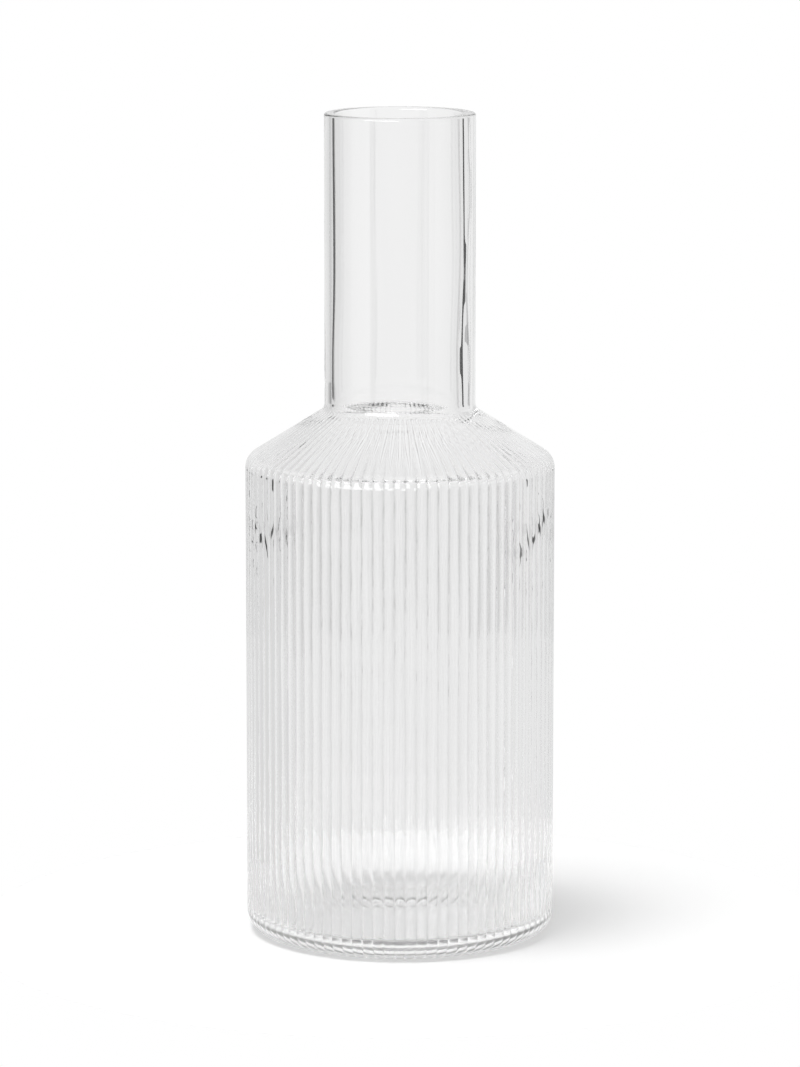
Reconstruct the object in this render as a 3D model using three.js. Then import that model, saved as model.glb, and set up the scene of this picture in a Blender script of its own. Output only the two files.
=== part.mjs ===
// Clear glass table carafe: a ribbed round body, a ribbed sloping shoulder and a plain straight neck.
// Millimetres, +Z up. The origin is the centre of the foot, on the surface that the carafe stands on.
// The glass is divided into its four zones on level planes: base, body wall, shoulder and neck.
import * as THREE from 'three';

// Overall form. The shoulder is a cone, and its two heights are where its straight side
// would cross the straight sides of the body and of the neck.
const BODY_DIAMETER = 100;
const NECK_DIAMETER = 48.7;
const TOTAL_HEIGHT = 267;
const SHOULDER_FOOT_HEIGHT = 155.6;
const SHOULDER_TOP_HEIGHT = 171.7;

// Thickness of the glass
const BASE_THICKNESS = 6.5;
const BODY_WALL = 2.8;
const SHOULDER_WALL = 3.3;
const NECK_WALL = 3.9;

// Roundings of the outside, then of the inside
const HEEL_RADIUS = 6;
const SHOULDER_CORNER_RADIUS = 5.5;
const NECK_FILLET_RADIUS = 3;
const RIM_EDGE_RADIUS = 0.8;
const FLOOR_COVE_RADIUS = 1.5;
const INNER_CORNER_RADIUS = 2.5;
const THROAT_RADIUS = 6.5;

// Underside: a flat foot ring round a shallow hollow
const FOOT_RING_WIDTH = 6;
const FOOT_HOLLOW_HEIGHT = 0.8;

// Upright ribs: a groove between neighbouring crests
const RIB_COUNT = 90;
const RIB_DEPTH = 0.45;
const SHOULDER_RIB_SHARE = 0.12; // share of the depth that is left at the top of the shoulder
const RIB_SECTION = [1, 0, 0]; // share of the depth at the groove and at the two edges of the crest

// Straight wall left on the shoulder zone, below its corner and above its neck fillet
const SHOULDER_MARGIN = 2;

// Steps along a rounding
const RIBBED_ARC_STEPS = 3;
const PLAIN_ARC_STEPS = 4;
const HOLLOW_STEPS = 3;

const bodyRadius = BODY_DIAMETER / 2;
const cavityRadius = bodyRadius - BODY_WALL;
const neckRadius = NECK_DIAMETER / 2;
const boreRadius = neckRadius - NECK_WALL;
const ribCount = Math.round(RIB_COUNT);
const heelRadius = Math.min(HEEL_RADIUS, BASE_THICKNESS);

// The cone's outward normal stands at this angle above the horizontal.
const shoulderRun = bodyRadius - neckRadius;
const shoulderRise = SHOULDER_TOP_HEIGHT - SHOULDER_FOOT_HEIGHT;
const shoulderLean = Math.atan2(shoulderRun, shoulderRise);
const tangentPerRadius = Math.tan(shoulderLean / 2);

function innerShoulderHeight(radius) {
  const outside = SHOULDER_FOOT_HEIGHT + (bodyRadius - radius) * shoulderRise / shoulderRun;
  return outside - SHOULDER_WALL / Math.sin(shoulderLean);
}

// Heights where each rounding of the shoulder runs out into a straight wall
const outerCornerStart = SHOULDER_FOOT_HEIGHT - SHOULDER_CORNER_RADIUS * tangentPerRadius;
const innerCornerStart = innerShoulderHeight(cavityRadius) - INNER_CORNER_RADIUS * tangentPerRadius;
const outerFilletEnd = SHOULDER_TOP_HEIGHT + NECK_FILLET_RADIUS * tangentPerRadius;
const throatEnd = innerShoulderHeight(boreRadius) + THROAT_RADIUS * tangentPerRadius;

// Level planes between the zones
const floorHeight = BASE_THICKNESS;
const shoulderStart = Math.min(outerCornerStart, innerCornerStart) - SHOULDER_MARGIN;
const neckStart = Math.max(outerFilletEnd, throatEnd) + SHOULDER_MARGIN;

// A ring of the surface: lean is the angle of its normal above the horizontal,
// and depth is how far the grooves are cut in along that normal.
function ring(radius, height, depth = 0, lean = 0) {
  return { radius, height, depth, lean };
}

// Rings along a rounding about a centre. side is 1 where the glass bulges and -1 where it is hollow.
function arc(centreRadius, centreHeight, radius, from, to, steps, side, depthAt = () => 0) {
  return Array.from({ length: steps + 1 }, (_, step) => {
    const lean = from + (to - from) * step / steps;
    const out = side * radius;
    const height = centreHeight + out * Math.sin(lean);
    return ring(centreRadius + out * Math.cos(lean), height, depthAt(lean), lean);
  });
}

// Points round a ring: one for each rib where it is plain, one whole rib section where it is ribbed.
function ringPoints({ radius, height, depth, lean }) {
  if (radius === 0) return [[0, 0, height]];
  const section = depth > 0 ? RIB_SECTION : [0];
  const count = ribCount * section.length;
  return Array.from({ length: count }, (_, i) => {
    const angle = 2 * Math.PI * i / count;
    const cut = depth * section[i % section.length];
    const r = radius - cut * Math.cos(lean);
    return [r * Math.cos(angle), r * Math.sin(angle), height - cut * Math.sin(lean)];
  });
}

// Triangles between two neighbouring rings, which may have different numbers of points.
function bridge(index, lower, upper) {
  const at = (band, i) => band.first + i % band.count;
  let i = lower.count === 1 ? 1 : 0;
  let j = upper.count === 1 ? 1 : 0;
  while (i < lower.count || j < upper.count) {
    const lowerNext = j === upper.count || (i + 1) * upper.count <= (j + 1) * lower.count;
    if (i < lower.count && lowerNext) {
      index.push(at(lower, i), at(lower, i + 1), at(upper, j));
      i += 1;
    } else {
      index.push(at(lower, i), at(upper, j + 1), at(upper, j));
      j += 1;
    }
  }
}

// A closed body of revolution with ribs, from rings that run up its outside and back down its inside.
// Its rings start and end on the axis, or the last one is joined to the first.
function glassZone(name, rings) {
  const positions = [];
  const bands = rings.map((item) => {
    const points = ringPoints(item);
    const first = positions.length / 3;
    positions.push(...points.flat());
    return { first, count: points.length };
  });
  const index = [];
  bands.slice(1).forEach((band, i) => bridge(index, bands[i], band));
  if (rings[0].radius > 0) bridge(index, bands.at(-1), bands[0]);
  const geometry = new THREE.BufferGeometry();
  geometry.setAttribute('position', new THREE.Float32BufferAttribute(positions, 3));
  geometry.setIndex(index);
  geometry.computeVertexNormals();
  const material = new THREE.MeshStandardMaterial({
    color: 0xf3f6f5,
    roughness: 0.03,
    metalness: 0,
    transparent: true,
    opacity: 0.35,
  });
  const mesh = new THREE.Mesh(geometry, material);
  mesh.name = name;
  return mesh;
}

// Solid bottom with a rounded heel, into which the ribs run out.
function makeBase() {
  const footRadius = bodyRadius - heelRadius;
  const hollowRadius = footRadius - FOOT_RING_WIDTH;
  const hollow = Array.from({ length: HOLLOW_STEPS + 1 }, (_, step) => {
    const share = step / HOLLOW_STEPS;
    return ring(hollowRadius * share, FOOT_HOLLOW_HEIGHT * (1 - share * share));
  });
  const runOut = (lean) => RIB_DEPTH * Math.max(0, 1 + lean / (Math.PI / 2));
  return glassZone('base', [
    ...hollow,
    ...arc(footRadius, heelRadius, heelRadius, -Math.PI / 2, 0, RIBBED_ARC_STEPS, 1, runOut),
    ...(floorHeight > heelRadius ? [ring(bodyRadius, floorHeight, RIB_DEPTH)] : []),
    ring(0, floorHeight),
  ]);
}

// Straight ribbed wall, with a cove inside where it meets the floor.
function makeBodyWall() {
  const coveRadius = cavityRadius - FLOOR_COVE_RADIUS;
  const coveHeight = floorHeight + FLOOR_COVE_RADIUS;
  return glassZone('body_wall', [
    ring(bodyRadius, floorHeight, RIB_DEPTH),
    ring(bodyRadius, shoulderStart, RIB_DEPTH),
    ring(cavityRadius, shoulderStart),
    ...arc(coveRadius, coveHeight, FLOOR_COVE_RADIUS, 0, -Math.PI / 2, PLAIN_ARC_STEPS, 1),
  ]);
}

// Ribbed cone with its rounded corner. The ribs grow shallow up it and run out in the neck fillet.
function makeShoulder() {
  const corner = arc(
    bodyRadius - SHOULDER_CORNER_RADIUS, outerCornerStart, SHOULDER_CORNER_RADIUS,
    0, shoulderLean, RIBBED_ARC_STEPS, 1, () => RIB_DEPTH);
  const fade = (lean) => RIB_DEPTH * SHOULDER_RIB_SHARE * (lean / shoulderLean);
  const fillet = arc(
    neckRadius + NECK_FILLET_RADIUS, outerFilletEnd, NECK_FILLET_RADIUS,
    shoulderLean, 0, RIBBED_ARC_STEPS, -1, fade);
  const throat = arc(
    boreRadius + THROAT_RADIUS, throatEnd, THROAT_RADIUS,
    0, shoulderLean, PLAIN_ARC_STEPS, -1);
  const innerCorner = arc(
    cavityRadius - INNER_CORNER_RADIUS, innerCornerStart, INNER_CORNER_RADIUS,
    shoulderLean, 0, PLAIN_ARC_STEPS, 1);
  return glassZone('shoulder', [
    ring(bodyRadius, shoulderStart, RIB_DEPTH),
    ...corner,
    ...fillet,
    ring(neckRadius, neckStart),
    ring(boreRadius, neckStart),
    ...throat,
    ...innerCorner,
    ring(cavityRadius, shoulderStart),
  ]);
}

// Plain tube with an open rim, whose two edges are rounded.
function makeNeck() {
  const rimHeight = TOTAL_HEIGHT - RIM_EDGE_RADIUS;
  const quarter = Math.PI / 2;
  const edge = (centreRadius, from) => arc(
    centreRadius, rimHeight, RIM_EDGE_RADIUS, from, from + quarter, PLAIN_ARC_STEPS, 1);
  return glassZone('neck', [
    ring(neckRadius, neckStart),
    ...edge(neckRadius - RIM_EDGE_RADIUS, 0),
    ...edge(boreRadius + RIM_EDGE_RADIUS, quarter),
    ring(boreRadius, neckStart),
  ]);
}

const carafe = new THREE.Group();
carafe.add(makeBase(), makeBodyWall(), makeShoulder(), makeNeck());

export default carafe;
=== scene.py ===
"""Looks of the ribbed glass carafe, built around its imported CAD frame. Metres, +Z up."""

import math

import bpy
import numpy as np
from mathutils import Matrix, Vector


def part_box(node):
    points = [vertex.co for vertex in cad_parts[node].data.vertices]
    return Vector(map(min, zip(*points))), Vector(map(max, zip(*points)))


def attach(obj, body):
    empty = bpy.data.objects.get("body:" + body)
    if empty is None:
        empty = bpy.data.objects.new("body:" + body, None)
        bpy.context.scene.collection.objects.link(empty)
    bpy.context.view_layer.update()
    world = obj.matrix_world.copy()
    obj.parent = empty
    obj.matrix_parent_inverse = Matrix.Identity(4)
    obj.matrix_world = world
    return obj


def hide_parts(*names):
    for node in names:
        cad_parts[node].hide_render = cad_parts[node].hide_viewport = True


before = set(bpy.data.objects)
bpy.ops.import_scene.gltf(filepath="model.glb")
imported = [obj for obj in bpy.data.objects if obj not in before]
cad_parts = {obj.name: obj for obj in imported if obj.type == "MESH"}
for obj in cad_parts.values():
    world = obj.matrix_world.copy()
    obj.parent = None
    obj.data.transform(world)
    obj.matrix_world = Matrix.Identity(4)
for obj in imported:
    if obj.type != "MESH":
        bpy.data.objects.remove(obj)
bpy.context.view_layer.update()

# Overall form, from the frame
BODY_RADIUS = (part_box("body_wall")[1].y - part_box("body_wall")[0].y) / 2
NECK_RADIUS = (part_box("neck")[1].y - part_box("neck")[0].y) / 2
TOTAL_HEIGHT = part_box("neck")[1].z
FLOOR_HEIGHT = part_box("body_wall")[0].z

# Heights where the shoulder's straight side would cross the body's and the neck's
SHOULDER_FOOT = 0.1556
SHOULDER_TOP = 0.1717

# Thickness of the glass
BODY_WALL = 0.0028
SHOULDER_WALL = 0.0033
NECK_WALL = 0.0039

# Roundings of the outside, then of the inside
HEEL = 0.0065
SHOULDER_CORNER = 0.0055
NECK_FILLET = 0.003
RIM_EDGE = 0.0008
FLOOR_COVE = 0.0015
INNER_CORNER = 0.0025
THROAT = 0.0065

# Underside: a flat foot ring round a shallow hollow
FOOT_RING = 0.006
FOOT_HOLLOW = 0.0008

# Upright ribs: convex reeds that meet in narrow grooves
RIB_COUNT = 90
RIB_DEPTH = 0.00045
RIB_ROUNDNESS = 0.88  # share of a half ellipse's width that a reed takes up
SHOULDER_RIB_SHARE = 0.12  # share of the depth that is left at the top of the shoulder
SHOULDER_RIB_FADE = 4  # power by which the ribs grow shallow up the shoulder
HEEL_RIB_FADE = 0.2  # power by which they run out round the heel

# Uneven ribs: how much depth and roundness vary along a rib. Each change is the mean of a few waves,
# with a seed and the limits of their pace, in radians for each metre of height.
CHANGE_WAVES = 2
DEPTH_VARIATION = 0.3
DEPTH_CHANGE = (5, (30, 120))
ROUNDNESS_VARIATION = 0.11
ROUNDNESS_CHANGE = (9, (60, 200))

# Nicks, where a groove is nipped in: how deep, from which share of a rib's half width outwards,
# and the level of their change from which they start
NICK_DEPTH = 0.0003
NICK_EDGE = 0.85
NICK_START = 0.2
NICK_CHANGE = (13, (300, 900))

# Uneven inside: how far the bore of the neck lies off its axis, slow waves as their count round
# the axis, pace for each metre and start, and ripples of the bore as height, turn and depth
BORE_OFFSET = -0.0005
WAVE_DEPTH = 0.00004
WAVES = ((4, 41, 0), (6, -73, 1.3))
RIPPLES = ((0.2095, 180, 0.0001), (0.187, 180, -0.00012), (0.19, 0, 0.0002), (0.225, 0, -0.0001))
RIPPLE_LENGTH = 0.016

# Faint crease up the outside of the neck: turn, width and sway in degrees, pace of the sway
# for each metre, depth, and the height in which it runs out at both ends
CREASE_TURN = -26
CREASE_WIDTH = 3
CREASE_SWAY = 3
CREASE_PACE = 110
CREASE_DEPTH = 0.0001
CREASE_RUN_OUT = 0.01

# Distance of a ring that keeps a straight wall's shading straight up to its rounding
GUARD = 0.0001

# A ring with less than this radius is a point on the axis
AXIS_RADIUS = 1e-9

# Points round a ring for each rib: more where there are ribs
RIBBED_POINTS = 16
PLAIN_POINTS = 4

# Steps along the roundings, then along the straight walls
HOLLOW_STEPS = 8
HEEL_STEPS = 14
SHOULDER_CORNER_STEPS = 12
NECK_FILLET_STEPS = 10
RIM_STEPS = 6
THROAT_STEPS = 14
INNER_CORNER_STEPS = 10
FLOOR_COVE_STEPS = 10
BODY_STEPS = 72
SHOULDER_STEPS = 14
NECK_STEPS = 30
INNER_SHOULDER_STEPS = 10
INNER_BODY_STEPS = 40
FLOOR_STEPS = 8

# Glass: streaks for each metre across and along it, the middle of their noise,
# and clearness at each surface and roughness from one end of that to the other
GLASS_IOR = 1.5
STREAK_SCALE = (90, 90, 12)
STREAK_RANGE = (0.3, 0.7)
GLASS_CLEARNESS = (0.985, 0.999)
GLASS_ROUGHNESS = (0.0, 0.012)

# How often light may turn inside the thick glass
LIGHT_TURNS = 32

# Light levels of the studio, where 1 is white
AMBIENT_LIGHT = 0.3  # on the table
BACK_LIGHT = 0.925  # straight behind the carafe
FLANK_LIGHT = (0.69, 0.8)  # at the back's left and right
FRONT_LIGHT = 0.65  # on the camera's side
SIDE_LIGHT = 0.42  # far sides of the table
BAND_LIGHT = 0.5  # upright grey band at the right
FILL_LIGHT = 1.0  # white panel at the right
GAP_LIGHT = 0.0  # dark gaps, and the dark line at the end of the table

# Places in the studio, in degrees: turns from straight behind the carafe, and rises above the horizon
FLANK_TURN = (0, 28)
FRONT_TURN = (50, 125)
SIDE_TURN = (18, 32)
SIDE_RISE = (-10.8, -8.4)
BAND_TURN = (26, 34)
FILL_TURN = (80, 125)
GAP_SPACING = 90  # from one dark gap to the next
LEFT_GAP_TURN = (43.5, 52)
RIGHT_GAP_TURN = (45.5, 49.5)
WALL_RISE = (-8.85, 3)
EDGE_TURN = (40, 95)
EDGE_RISE = (-9.62, -9.5)

# Table top: its glow straight on, then as the glass shows it near the middle and far aside,
# and the distances to the left and right between which that dims
TABLE_RADIUS = 0.14
TABLE_POINTS = 128
TABLE_CLEARANCE = 0.0001
TABLE_COLOUR = 0.6
TABLE_GLOW = 0.472
TABLE_GLASS_GLOW = (0.41, 0.2)
TABLE_LEFT = (0.05, 0.08)
TABLE_RIGHT = (0.08, 0.14)

# Lamps, turned to the left of the camera's side, in degrees and metres
SOFTBOX_LIGHT = 4.5
SOFTBOX_TURN = 28.5
SOFTBOX_DISTANCE = 1.1
SOFTBOX_HEIGHT = 0.55
SOFTBOX_SIZE = (1.1, 0.7)
OVERHEAD_LIGHT = 0.6
OVERHEAD_TURN = 50
OVERHEAD_RISE = 76
OVERHEAD_SPREAD = 22

# Camera: focal length and sensor in millimetres, place in metres, and tilt below the level in degrees
CAMERA_LENS = 170.8
CAMERA_SENSOR = 36.0
CAMERA_PLACE = (0, -1.6176, 0.4045)
CAMERA_TILT = 9.614

CAVITY_RADIUS = BODY_RADIUS - BODY_WALL
BORE_RADIUS = NECK_RADIUS - NECK_WALL
LEAN = math.atan2(BODY_RADIUS - NECK_RADIUS, SHOULDER_TOP - SHOULDER_FOOT)
TANGENT = math.tan(LEAN / 2)
QUARTER = math.pi / 2


def inner_shoulder(radius):
    """Height of the shoulder's inside, straight above a radius."""
    slope = (SHOULDER_TOP - SHOULDER_FOOT) / (BODY_RADIUS - NECK_RADIUS)
    return SHOULDER_FOOT + (BODY_RADIUS - radius) * slope - SHOULDER_WALL / math.sin(LEAN)


def arc(centre, radius, start, end, steps, side=1):
    """Stations (radius, height, lean of the normal) along a rounding of the profile."""
    lean = np.linspace(start, end, steps + 1)
    out = side * radius
    return np.column_stack((centre[0] + out * np.cos(lean), centre[1] + out * np.sin(lean), lean))


def straight(start, end, steps):
    """Stations strictly between two others, evenly spaced, with one close to each end for the shading."""
    length = math.hypot(end[0] - start[0], end[1] - start[1])
    share = np.linspace(0, 1, steps + 2)
    share[0], share[-1] = GUARD / length, 1 - GUARD / length
    return start + (end - start) * share[:, None]


def outside_profile():
    """Stations from the middle of the underside, round the heel and up to the rim's outer edge."""
    foot = BODY_RADIUS - HEEL
    hollow = foot - FOOT_RING
    share = np.linspace(0, 1, HOLLOW_STEPS + 1)
    rise = FOOT_HOLLOW * np.cos(share * QUARTER) ** 2
    under = np.column_stack((hollow * share, rise, np.full(share.size, -QUARTER)))
    heel = arc((foot, HEEL), HEEL, -QUARTER, 0, HEEL_STEPS)
    corner_centre = (BODY_RADIUS - SHOULDER_CORNER, SHOULDER_FOOT - SHOULDER_CORNER * TANGENT)
    corner = arc(corner_centre, SHOULDER_CORNER, 0, LEAN, SHOULDER_CORNER_STEPS)
    fillet_centre = (NECK_RADIUS + NECK_FILLET, SHOULDER_TOP + NECK_FILLET * TANGENT)
    fillet = arc(fillet_centre, NECK_FILLET, LEAN, 0, NECK_FILLET_STEPS, side=-1)
    rim = arc((NECK_RADIUS - RIM_EDGE, TOTAL_HEIGHT - RIM_EDGE), RIM_EDGE, 0, QUARTER, RIM_STEPS)
    body = straight(heel[-1], corner[0], BODY_STEPS)
    shoulder = straight(corner[-1], fillet[0], SHOULDER_STEPS)
    neck = straight(fillet[-1], rim[0], NECK_STEPS)
    return np.vstack([under, heel, body, corner, shoulder, fillet, neck, rim])


def inside_profile():
    """Stations from the rim's inner edge down the bore to the middle of the floor."""
    rim_centre = (BORE_RADIUS + RIM_EDGE, TOTAL_HEIGHT - RIM_EDGE)
    rim = arc(rim_centre, RIM_EDGE, QUARTER, math.pi, RIM_STEPS)
    rim[:, 2] -= math.pi
    throat_centre = (BORE_RADIUS + THROAT, inner_shoulder(BORE_RADIUS) + THROAT * TANGENT)
    throat = arc(throat_centre, THROAT, 0, LEAN, THROAT_STEPS, side=-1)
    corner_start = inner_shoulder(CAVITY_RADIUS) - INNER_CORNER * TANGENT
    corner_centre = (CAVITY_RADIUS - INNER_CORNER, corner_start)
    corner = arc(corner_centre, INNER_CORNER, LEAN, 0, INNER_CORNER_STEPS)
    cove_centre = (CAVITY_RADIUS - FLOOR_COVE, FLOOR_HEIGHT + FLOOR_COVE)
    cove = arc(cove_centre, FLOOR_COVE, 0, -QUARTER, FLOOR_COVE_STEPS)
    middle = np.array([0.0, FLOOR_HEIGHT, -QUARTER])
    neck = straight(rim[-1], throat[0], NECK_STEPS)
    shoulder = straight(throat[-1], corner[0], INNER_SHOULDER_STEPS)
    body = straight(corner[-1], cove[0], INNER_BODY_STEPS)
    floor = straight(cove[-1], middle, FLOOR_STEPS)
    return np.vstack([rim, neck, throat, shoulder, corner, body, cove, floor, middle[None]])


def reed(across, roundness):
    """Share of the rib depth across a rib: 0 on the crest at 0, 1 in the grooves at -1 and 1."""
    return (1 - np.sqrt(1 - (roundness * across) ** 2)) / (1 - np.sqrt(1 - roundness**2))


def rib_depth(radius, height, lean):
    """Depth of the ribs at a station of the outside: they run out in the heel and at the neck."""
    if lean < 0:
        return RIB_DEPTH * max(0.0, 1 + lean / QUARTER) ** HEEL_RIB_FADE
    if height < SHOULDER_FOOT:
        return RIB_DEPTH
    climb = min(1.0, max(0.0, (BODY_RADIUS - radius) / (BODY_RADIUS - NECK_RADIUS)))
    share = SHOULDER_RIB_SHARE + (1 - SHOULDER_RIB_SHARE) * (1 - climb) ** SHOULDER_RIB_FADE
    fillet_start = NECK_RADIUS + NECK_FILLET * (1 - math.cos(LEAN))
    fade = min(1.0, max(0.0, (radius - NECK_RADIUS) / (fillet_start - NECK_RADIUS)))
    return RIB_DEPTH * fade * share


def unevenness(height, seed, paces):
    """A change along each rib, different from rib to rib, between -1 and 1."""
    chance = np.random.default_rng(seed)
    pace = chance.uniform(*paces, (CHANGE_WAVES, RIB_COUNT))
    start = chance.uniform(0, 2 * math.pi, (CHANGE_WAVES, RIB_COUNT))
    return np.sin(pace * height + start).mean(axis=0)[:, None]


def nick(across, height):
    """Extra depth at the edges of a rib where its groove is nipped in, in metres."""
    edge = np.maximum(0, np.abs(across) - NICK_EDGE) / (1 - NICK_EDGE)
    share = np.maximum(0, unevenness(height, *NICK_CHANGE) - NICK_START) / (1 - NICK_START)
    return NICK_DEPTH * share * edge


def crease(angle, height):
    """Depth of the faint crease that sways up the outside of the neck."""
    turn = math.radians(CREASE_TURN + CREASE_SWAY * math.sin(CREASE_PACE * height))
    away = np.angle(np.exp(1j * (angle - turn))) / math.radians(CREASE_WIDTH)
    rise = min(height - SHOULDER_TOP - NECK_FILLET, TOTAL_HEIGHT - RIM_EDGE - height)
    return CREASE_DEPTH * min(1.0, max(0.0, rise / CREASE_RUN_OUT)) * np.exp(-away * away)


def rib_cut(across, angle, height, depth):
    """Depth of the outside below its plain form, in metres: ribs, their nicks and the neck's crease."""
    depths = depth * (1 + DEPTH_VARIATION * unevenness(height, *DEPTH_CHANGE))
    roundness = RIB_ROUNDNESS + ROUNDNESS_VARIATION * unevenness(height, *ROUNDNESS_CHANGE)
    nicks = min(1.0, depth / RIB_DEPTH) ** 2 * nick(across, height)
    return (depths * reed(across, roundness) + nicks).ravel() + crease(angle, height)


def wave(angle, height):
    """Unevenness of blown glass on the inside, in metres: slow waves, and ripples of the bore."""
    slow = [np.sin(count * angle + pace * height + start) for count, pace, start in WAVES]
    depth = -WAVE_DEPTH * np.mean(slow, axis=0)
    for level, turn, size in RIPPLES:
        side = np.maximum(0, np.cos(angle - math.radians(turn)))
        depth = depth + size * side**2 * math.exp(-(((height - level) / RIPPLE_LENGTH) ** 2))
    return depth


def bore_shift(height):
    """Sideways shift of the inside: full in the neck, none below the shoulder."""
    share = np.clip((height - SHOULDER_FOOT) / (SHOULDER_TOP - SHOULDER_FOOT), 0, 1)
    return BORE_OFFSET * share * share * (3 - 2 * share)


def ring(station, inside):
    """Points of the ring at one station of the profile."""
    radius, height, lean = station
    if radius < AXIS_RADIUS:
        return np.array([[0.0, 0.0, height]])
    depth = 0.0 if inside else rib_depth(radius, height, lean)
    each = RIBBED_POINTS if depth > 0 else PLAIN_POINTS
    share = np.linspace(-1, 1, each, endpoint=False)
    across = np.sin(share * QUARTER) if depth > 0 else share
    angle = ((np.arange(RIB_COUNT)[:, None] + (across + 1) / 2) * (2 * math.pi / RIB_COUNT)).ravel()
    if inside:
        cut = wave(angle, height) * min(1.0, radius / BORE_RADIUS)
        shift = bore_shift(height)
    else:
        cut = rib_cut(across, angle, height, depth)
        shift = 0.0
    around = radius - cut * math.cos(lean)
    level = height - cut * math.sin(lean)
    return np.column_stack((around * np.cos(angle) + shift, around * np.sin(angle), level))


def bridge(first, first_count, second, second_count):
    """Faces between two rings, whose counts are equal or one a multiple of the other."""
    if first_count == second_count:
        i = np.arange(first_count)
        j = (i + 1) % first_count
        return np.column_stack((first + i, first + j, second + j, second + i)).tolist()
    faces = []
    i = 1 if first_count == 1 else 0
    j = 1 if second_count == 1 else 0
    while i < first_count or j < second_count:
        ahead = j == second_count or (i + 1) * second_count <= (j + 1) * first_count
        a, b = first + i % first_count, second + j % second_count
        if i < first_count and ahead:
            faces.append((a, first + (i + 1) % first_count, b))
            i += 1
        else:
            faces.append((a, second + (j + 1) % second_count, b))
            j += 1
    return faces


def make_carafe():
    """The whole glass as one closed skin, outside and inside."""
    rings = [ring(station, False) for station in outside_profile()]
    rings += [ring(station, True) for station in inside_profile()]
    starts = np.cumsum([0] + [len(points) for points in rings])
    faces = []
    for k in range(len(rings) - 1):
        faces += bridge(starts[k], len(rings[k]), starts[k + 1], len(rings[k + 1]))
    mesh = bpy.data.meshes.new("carafe_glass")
    mesh.from_pydata(np.vstack(rings).tolist(), [], faces)
    mesh.validate()
    mesh.polygons.foreach_set("use_smooth", [True] * len(mesh.polygons))
    mesh.update()
    carafe = bpy.data.objects.new("carafe_glass", mesh)
    bpy.context.scene.collection.objects.link(carafe)
    return carafe


def math_node(tree, operation, first, second=None):
    """Output socket of a math node that is fed by sockets or plain numbers."""
    node = tree.nodes.new("ShaderNodeMath")
    node.operation = operation
    for socket, value in zip(node.inputs, (first, second)):
        if isinstance(value, (int, float)):
            socket.default_value = value
        elif value is not None:
            tree.links.new(value, socket)
    return node.outputs[0]


def times(tree, first, *others):
    """Product of values, given as sockets or numbers."""
    for other in others:
        first = math_node(tree, "MULTIPLY", first, other)
    return first


def mix_node(tree, factor, first, second):
    """Plain mix of two values, given as sockets or numbers."""
    rest = math_node(tree, "SUBTRACT", 1.0, factor)
    return math_node(tree, "ADD", times(tree, rest, first), times(tree, factor, second))


def between(tree, value, limits):
    """1 where a value lies between two limits, and 0 elsewhere."""
    over = math_node(tree, "GREATER_THAN", value, float(limits[0]))
    return times(tree, over, math_node(tree, "LESS_THAN", value, float(limits[1])))


def ramp(tree, value, limits):
    """Smooth rise from 0 at the first limit to 1 at the second."""
    node = tree.nodes.new("ShaderNodeMapRange")
    node.interpolation_type = "SMOOTHSTEP"
    tree.links.new(value, node.inputs["Value"])
    node.inputs["From Min"].default_value, node.inputs["From Max"].default_value = limits
    return node.outputs["Result"]


def spread(tree, value, limits):
    """The middle of the streaks' noise, spread between two limits."""
    node = tree.nodes.new("ShaderNodeMapRange")
    node.inputs["From Min"].default_value, node.inputs["From Max"].default_value = STREAK_RANGE
    node.inputs["To Min"].default_value, node.inputs["To Max"].default_value = limits
    tree.links.new(value, node.inputs["Value"])
    return node.outputs["Result"]


def seen_in_glass(tree):
    """1 for light that the glass mirrors or lets through, and 0 for other light."""
    path = tree.nodes.new("ShaderNodeLightPath").outputs
    return math_node(tree, "MAXIMUM", path["Is Glossy Ray"], path["Is Transmission Ray"])


def glass_material():
    """Clear colourless glass with the faint upright streaks of blowing."""
    material = bpy.data.materials.new("clear_glass")
    material.use_nodes = True
    tree = material.node_tree
    shader = tree.nodes["Principled BSDF"]
    shader.inputs["Transmission Weight"].default_value = 1.0
    shader.inputs["IOR"].default_value = GLASS_IOR
    mapping = tree.nodes.new("ShaderNodeMapping")
    mapping.inputs["Scale"].default_value = STREAK_SCALE
    tree.links.new(tree.nodes.new("ShaderNodeTexCoord").outputs["Object"], mapping.inputs["Vector"])
    noise = tree.nodes.new("ShaderNodeTexNoise")
    noise.inputs["Scale"].default_value = 1.0
    noise.inputs["Detail"].default_value = 1.0
    tree.links.new(mapping.outputs["Vector"], noise.inputs["Vector"])
    streak = noise.outputs["Fac"]
    tree.links.new(spread(tree, streak, GLASS_CLEARNESS), shader.inputs["Base Color"])
    tree.links.new(spread(tree, streak, GLASS_ROUGHNESS), shader.inputs["Roughness"])
    return material


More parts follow.
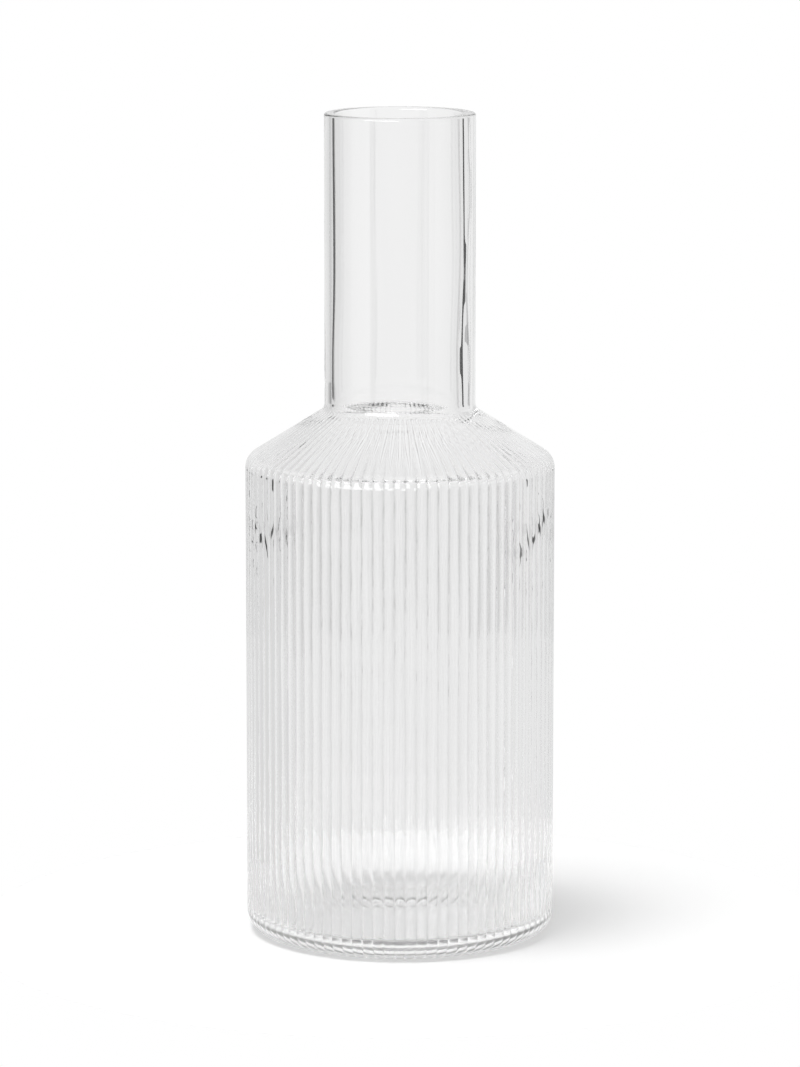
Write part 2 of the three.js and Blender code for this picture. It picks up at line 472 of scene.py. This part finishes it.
def room_light(tree):
    """Light that the glass shows: a white backdrop, and a room round it with a few darker places."""
    direction = tree.nodes.new("ShaderNodeTexCoord").outputs["Generated"]
    split = tree.nodes.new("ShaderNodeSeparateXYZ")
    tree.links.new(direction, split.inputs[0])
    turn = math_node(tree, "ARCTAN2", split.outputs["X"], split.outputs["Y"])
    away = math_node(tree, "ABSOLUTE", math_node(tree, "DEGREES", turn))
    above = math_node(tree, "DEGREES", math_node(tree, "ARCSINE", split.outputs["Z"]))
    right = math_node(tree, "GREATER_THAN", turn, 0.0)
    left = math_node(tree, "SUBTRACT", 1.0, right)
    wall = between(tree, above, WALL_RISE)

    flank = mix_node(tree, right, *FLANK_LIGHT)
    light = mix_node(tree, ramp(tree, away, FLANK_TURN), BACK_LIGHT, flank)
    light = mix_node(tree, ramp(tree, away, FRONT_TURN), light, FRONT_LIGHT)

    before_edge = math_node(tree, "LESS_THAN", away, float(EDGE_TURN[0]))
    side = times(tree, ramp(tree, away, SIDE_TURN), between(tree, above, SIDE_RISE), before_edge)
    light = mix_node(tree, side, light, SIDE_LIGHT)
    band = times(tree, right, wall, between(tree, away, BAND_TURN))
    light = mix_node(tree, band, light, BAND_LIGHT)
    fill = times(tree, right, between(tree, away, FILL_TURN))
    light = mix_node(tree, fill, light, FILL_LIGHT)

    corner = math_node(tree, "MODULO", away, float(GAP_SPACING))
    left_gap = times(tree, left, between(tree, corner, LEFT_GAP_TURN))
    right_gap = times(tree, right, between(tree, corner, RIGHT_GAP_TURN))
    gap = times(tree, wall, math_node(tree, "MAXIMUM", left_gap, right_gap))
    edge = times(tree, between(tree, away, EDGE_TURN), between(tree, above, EDGE_RISE))
    return mix_node(tree, math_node(tree, "MAXIMUM", gap, edge), light, GAP_LIGHT)


def make_world():
    """White studio: plain white behind the carafe, and what the glass shows of the room."""
    world = bpy.data.worlds.new("studio")
    bpy.context.scene.world = world
    world.use_nodes = True
    tree = world.node_tree
    background = tree.nodes["Background"]
    strength = mix_node(tree, seen_in_glass(tree), AMBIENT_LIGHT, room_light(tree))
    path = tree.nodes.new("ShaderNodeLightPath").outputs
    strength = mix_node(tree, path["Is Camera Ray"], strength, 1.0)
    tree.links.new(strength, background.inputs["Strength"])
    background.inputs["Color"].default_value = (1, 1, 1, 1)


def table_material():
    """Matt white that glows a little, less far aside where the glass shows it."""
    material = bpy.data.materials.new("floor_white")
    material.use_nodes = True
    tree = material.node_tree
    shader = tree.nodes["Principled BSDF"]
    shader.inputs["Base Color"].default_value = (TABLE_COLOUR, TABLE_COLOUR, TABLE_COLOUR, 1)
    shader.inputs["Roughness"].default_value = 1.0
    shader.inputs["Specular IOR Level"].default_value = 0.0
    shader.inputs["Emission Color"].default_value = (1, 1, 1, 1)
    split = tree.nodes.new("ShaderNodeSeparateXYZ")
    tree.links.new(tree.nodes.new("ShaderNodeTexCoord").outputs["Object"], split.inputs[0])
    left = ramp(tree, times(tree, split.outputs["X"], -1.0), TABLE_LEFT)
    aside = math_node(tree, "MAXIMUM", left, ramp(tree, split.outputs["X"], TABLE_RIGHT))
    glass_glow = mix_node(tree, aside, *TABLE_GLASS_GLOW)
    glow = mix_node(tree, seen_in_glass(tree), TABLE_GLOW, glass_glow)
    tree.links.new(glow, shader.inputs["Emission Strength"])
    return material


def make_table():
    """White table top round the carafe, which keeps its shadow."""
    bpy.ops.mesh.primitive_circle_add(
        vertices=TABLE_POINTS, radius=TABLE_RADIUS, fill_type="NGON", location=(0, 0, -TABLE_CLEARANCE))
    table = bpy.context.object
    table.name = "floor"
    table.data.materials.append(table_material())


def make_softbox():
    """Wide softbox at the front left, which shows in the gloss of the glass."""
    lamp = bpy.data.lights.new("front_softbox", "AREA")
    lamp.shape = "RECTANGLE"
    lamp.size, lamp.size_y = SOFTBOX_SIZE
    lamp.energy = SOFTBOX_LIGHT * math.pi * lamp.size * lamp.size_y
    box = bpy.data.objects.new("front_softbox", lamp)
    bpy.context.scene.collection.objects.link(box)
    turn = math.radians(SOFTBOX_TURN)
    box.location = (-math.sin(turn) * SOFTBOX_DISTANCE, -math.cos(turn) * SOFTBOX_DISTANCE, SOFTBOX_HEIGHT)
    box.rotation_euler = (QUARTER, 0, -turn)
    box.visible_camera = False
    box.visible_diffuse = False


def make_overhead():
    """Soft light from the upper left, which throws the shadow on the table."""
    lamp = bpy.data.lights.new("overhead", "SUN")
    fall = QUARTER - math.radians(OVERHEAD_RISE)
    lamp.energy = OVERHEAD_LIGHT * math.pi / math.cos(fall)
    lamp.angle = math.radians(OVERHEAD_SPREAD)
    sun = bpy.data.objects.new("overhead", lamp)
    bpy.context.scene.collection.objects.link(sun)
    sun.rotation_euler = (fall, 0, -math.radians(OVERHEAD_TURN))
    sun.visible_glossy = False
    sun.visible_transmission = False


def make_camera():
    """Camera at the photograph's viewing angle, above the rim and tilted down."""
    camera = bpy.data.cameras.new("camera")
    camera.lens = CAMERA_LENS
    camera.sensor_width = CAMERA_SENSOR
    holder = bpy.data.objects.new("camera", camera)
    bpy.context.scene.collection.objects.link(holder)
    holder.location = CAMERA_PLACE
    holder.rotation_euler = (QUARTER - math.radians(CAMERA_TILT), 0, 0)
    bpy.context.scene.camera = holder


carafe = make_carafe()
carafe.data.materials.append(glass_material())
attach(carafe, "root")
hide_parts("base", "body_wall", "shoulder", "neck")

make_world()
make_table()
make_softbox()
make_overhead()
make_camera()
bpy.context.scene.view_settings.view_transform = "Standard"
paths = bpy.context.scene.cycles
paths.max_bounces = paths.glossy_bounces = paths.transmission_bounces = LIGHT_TURNS
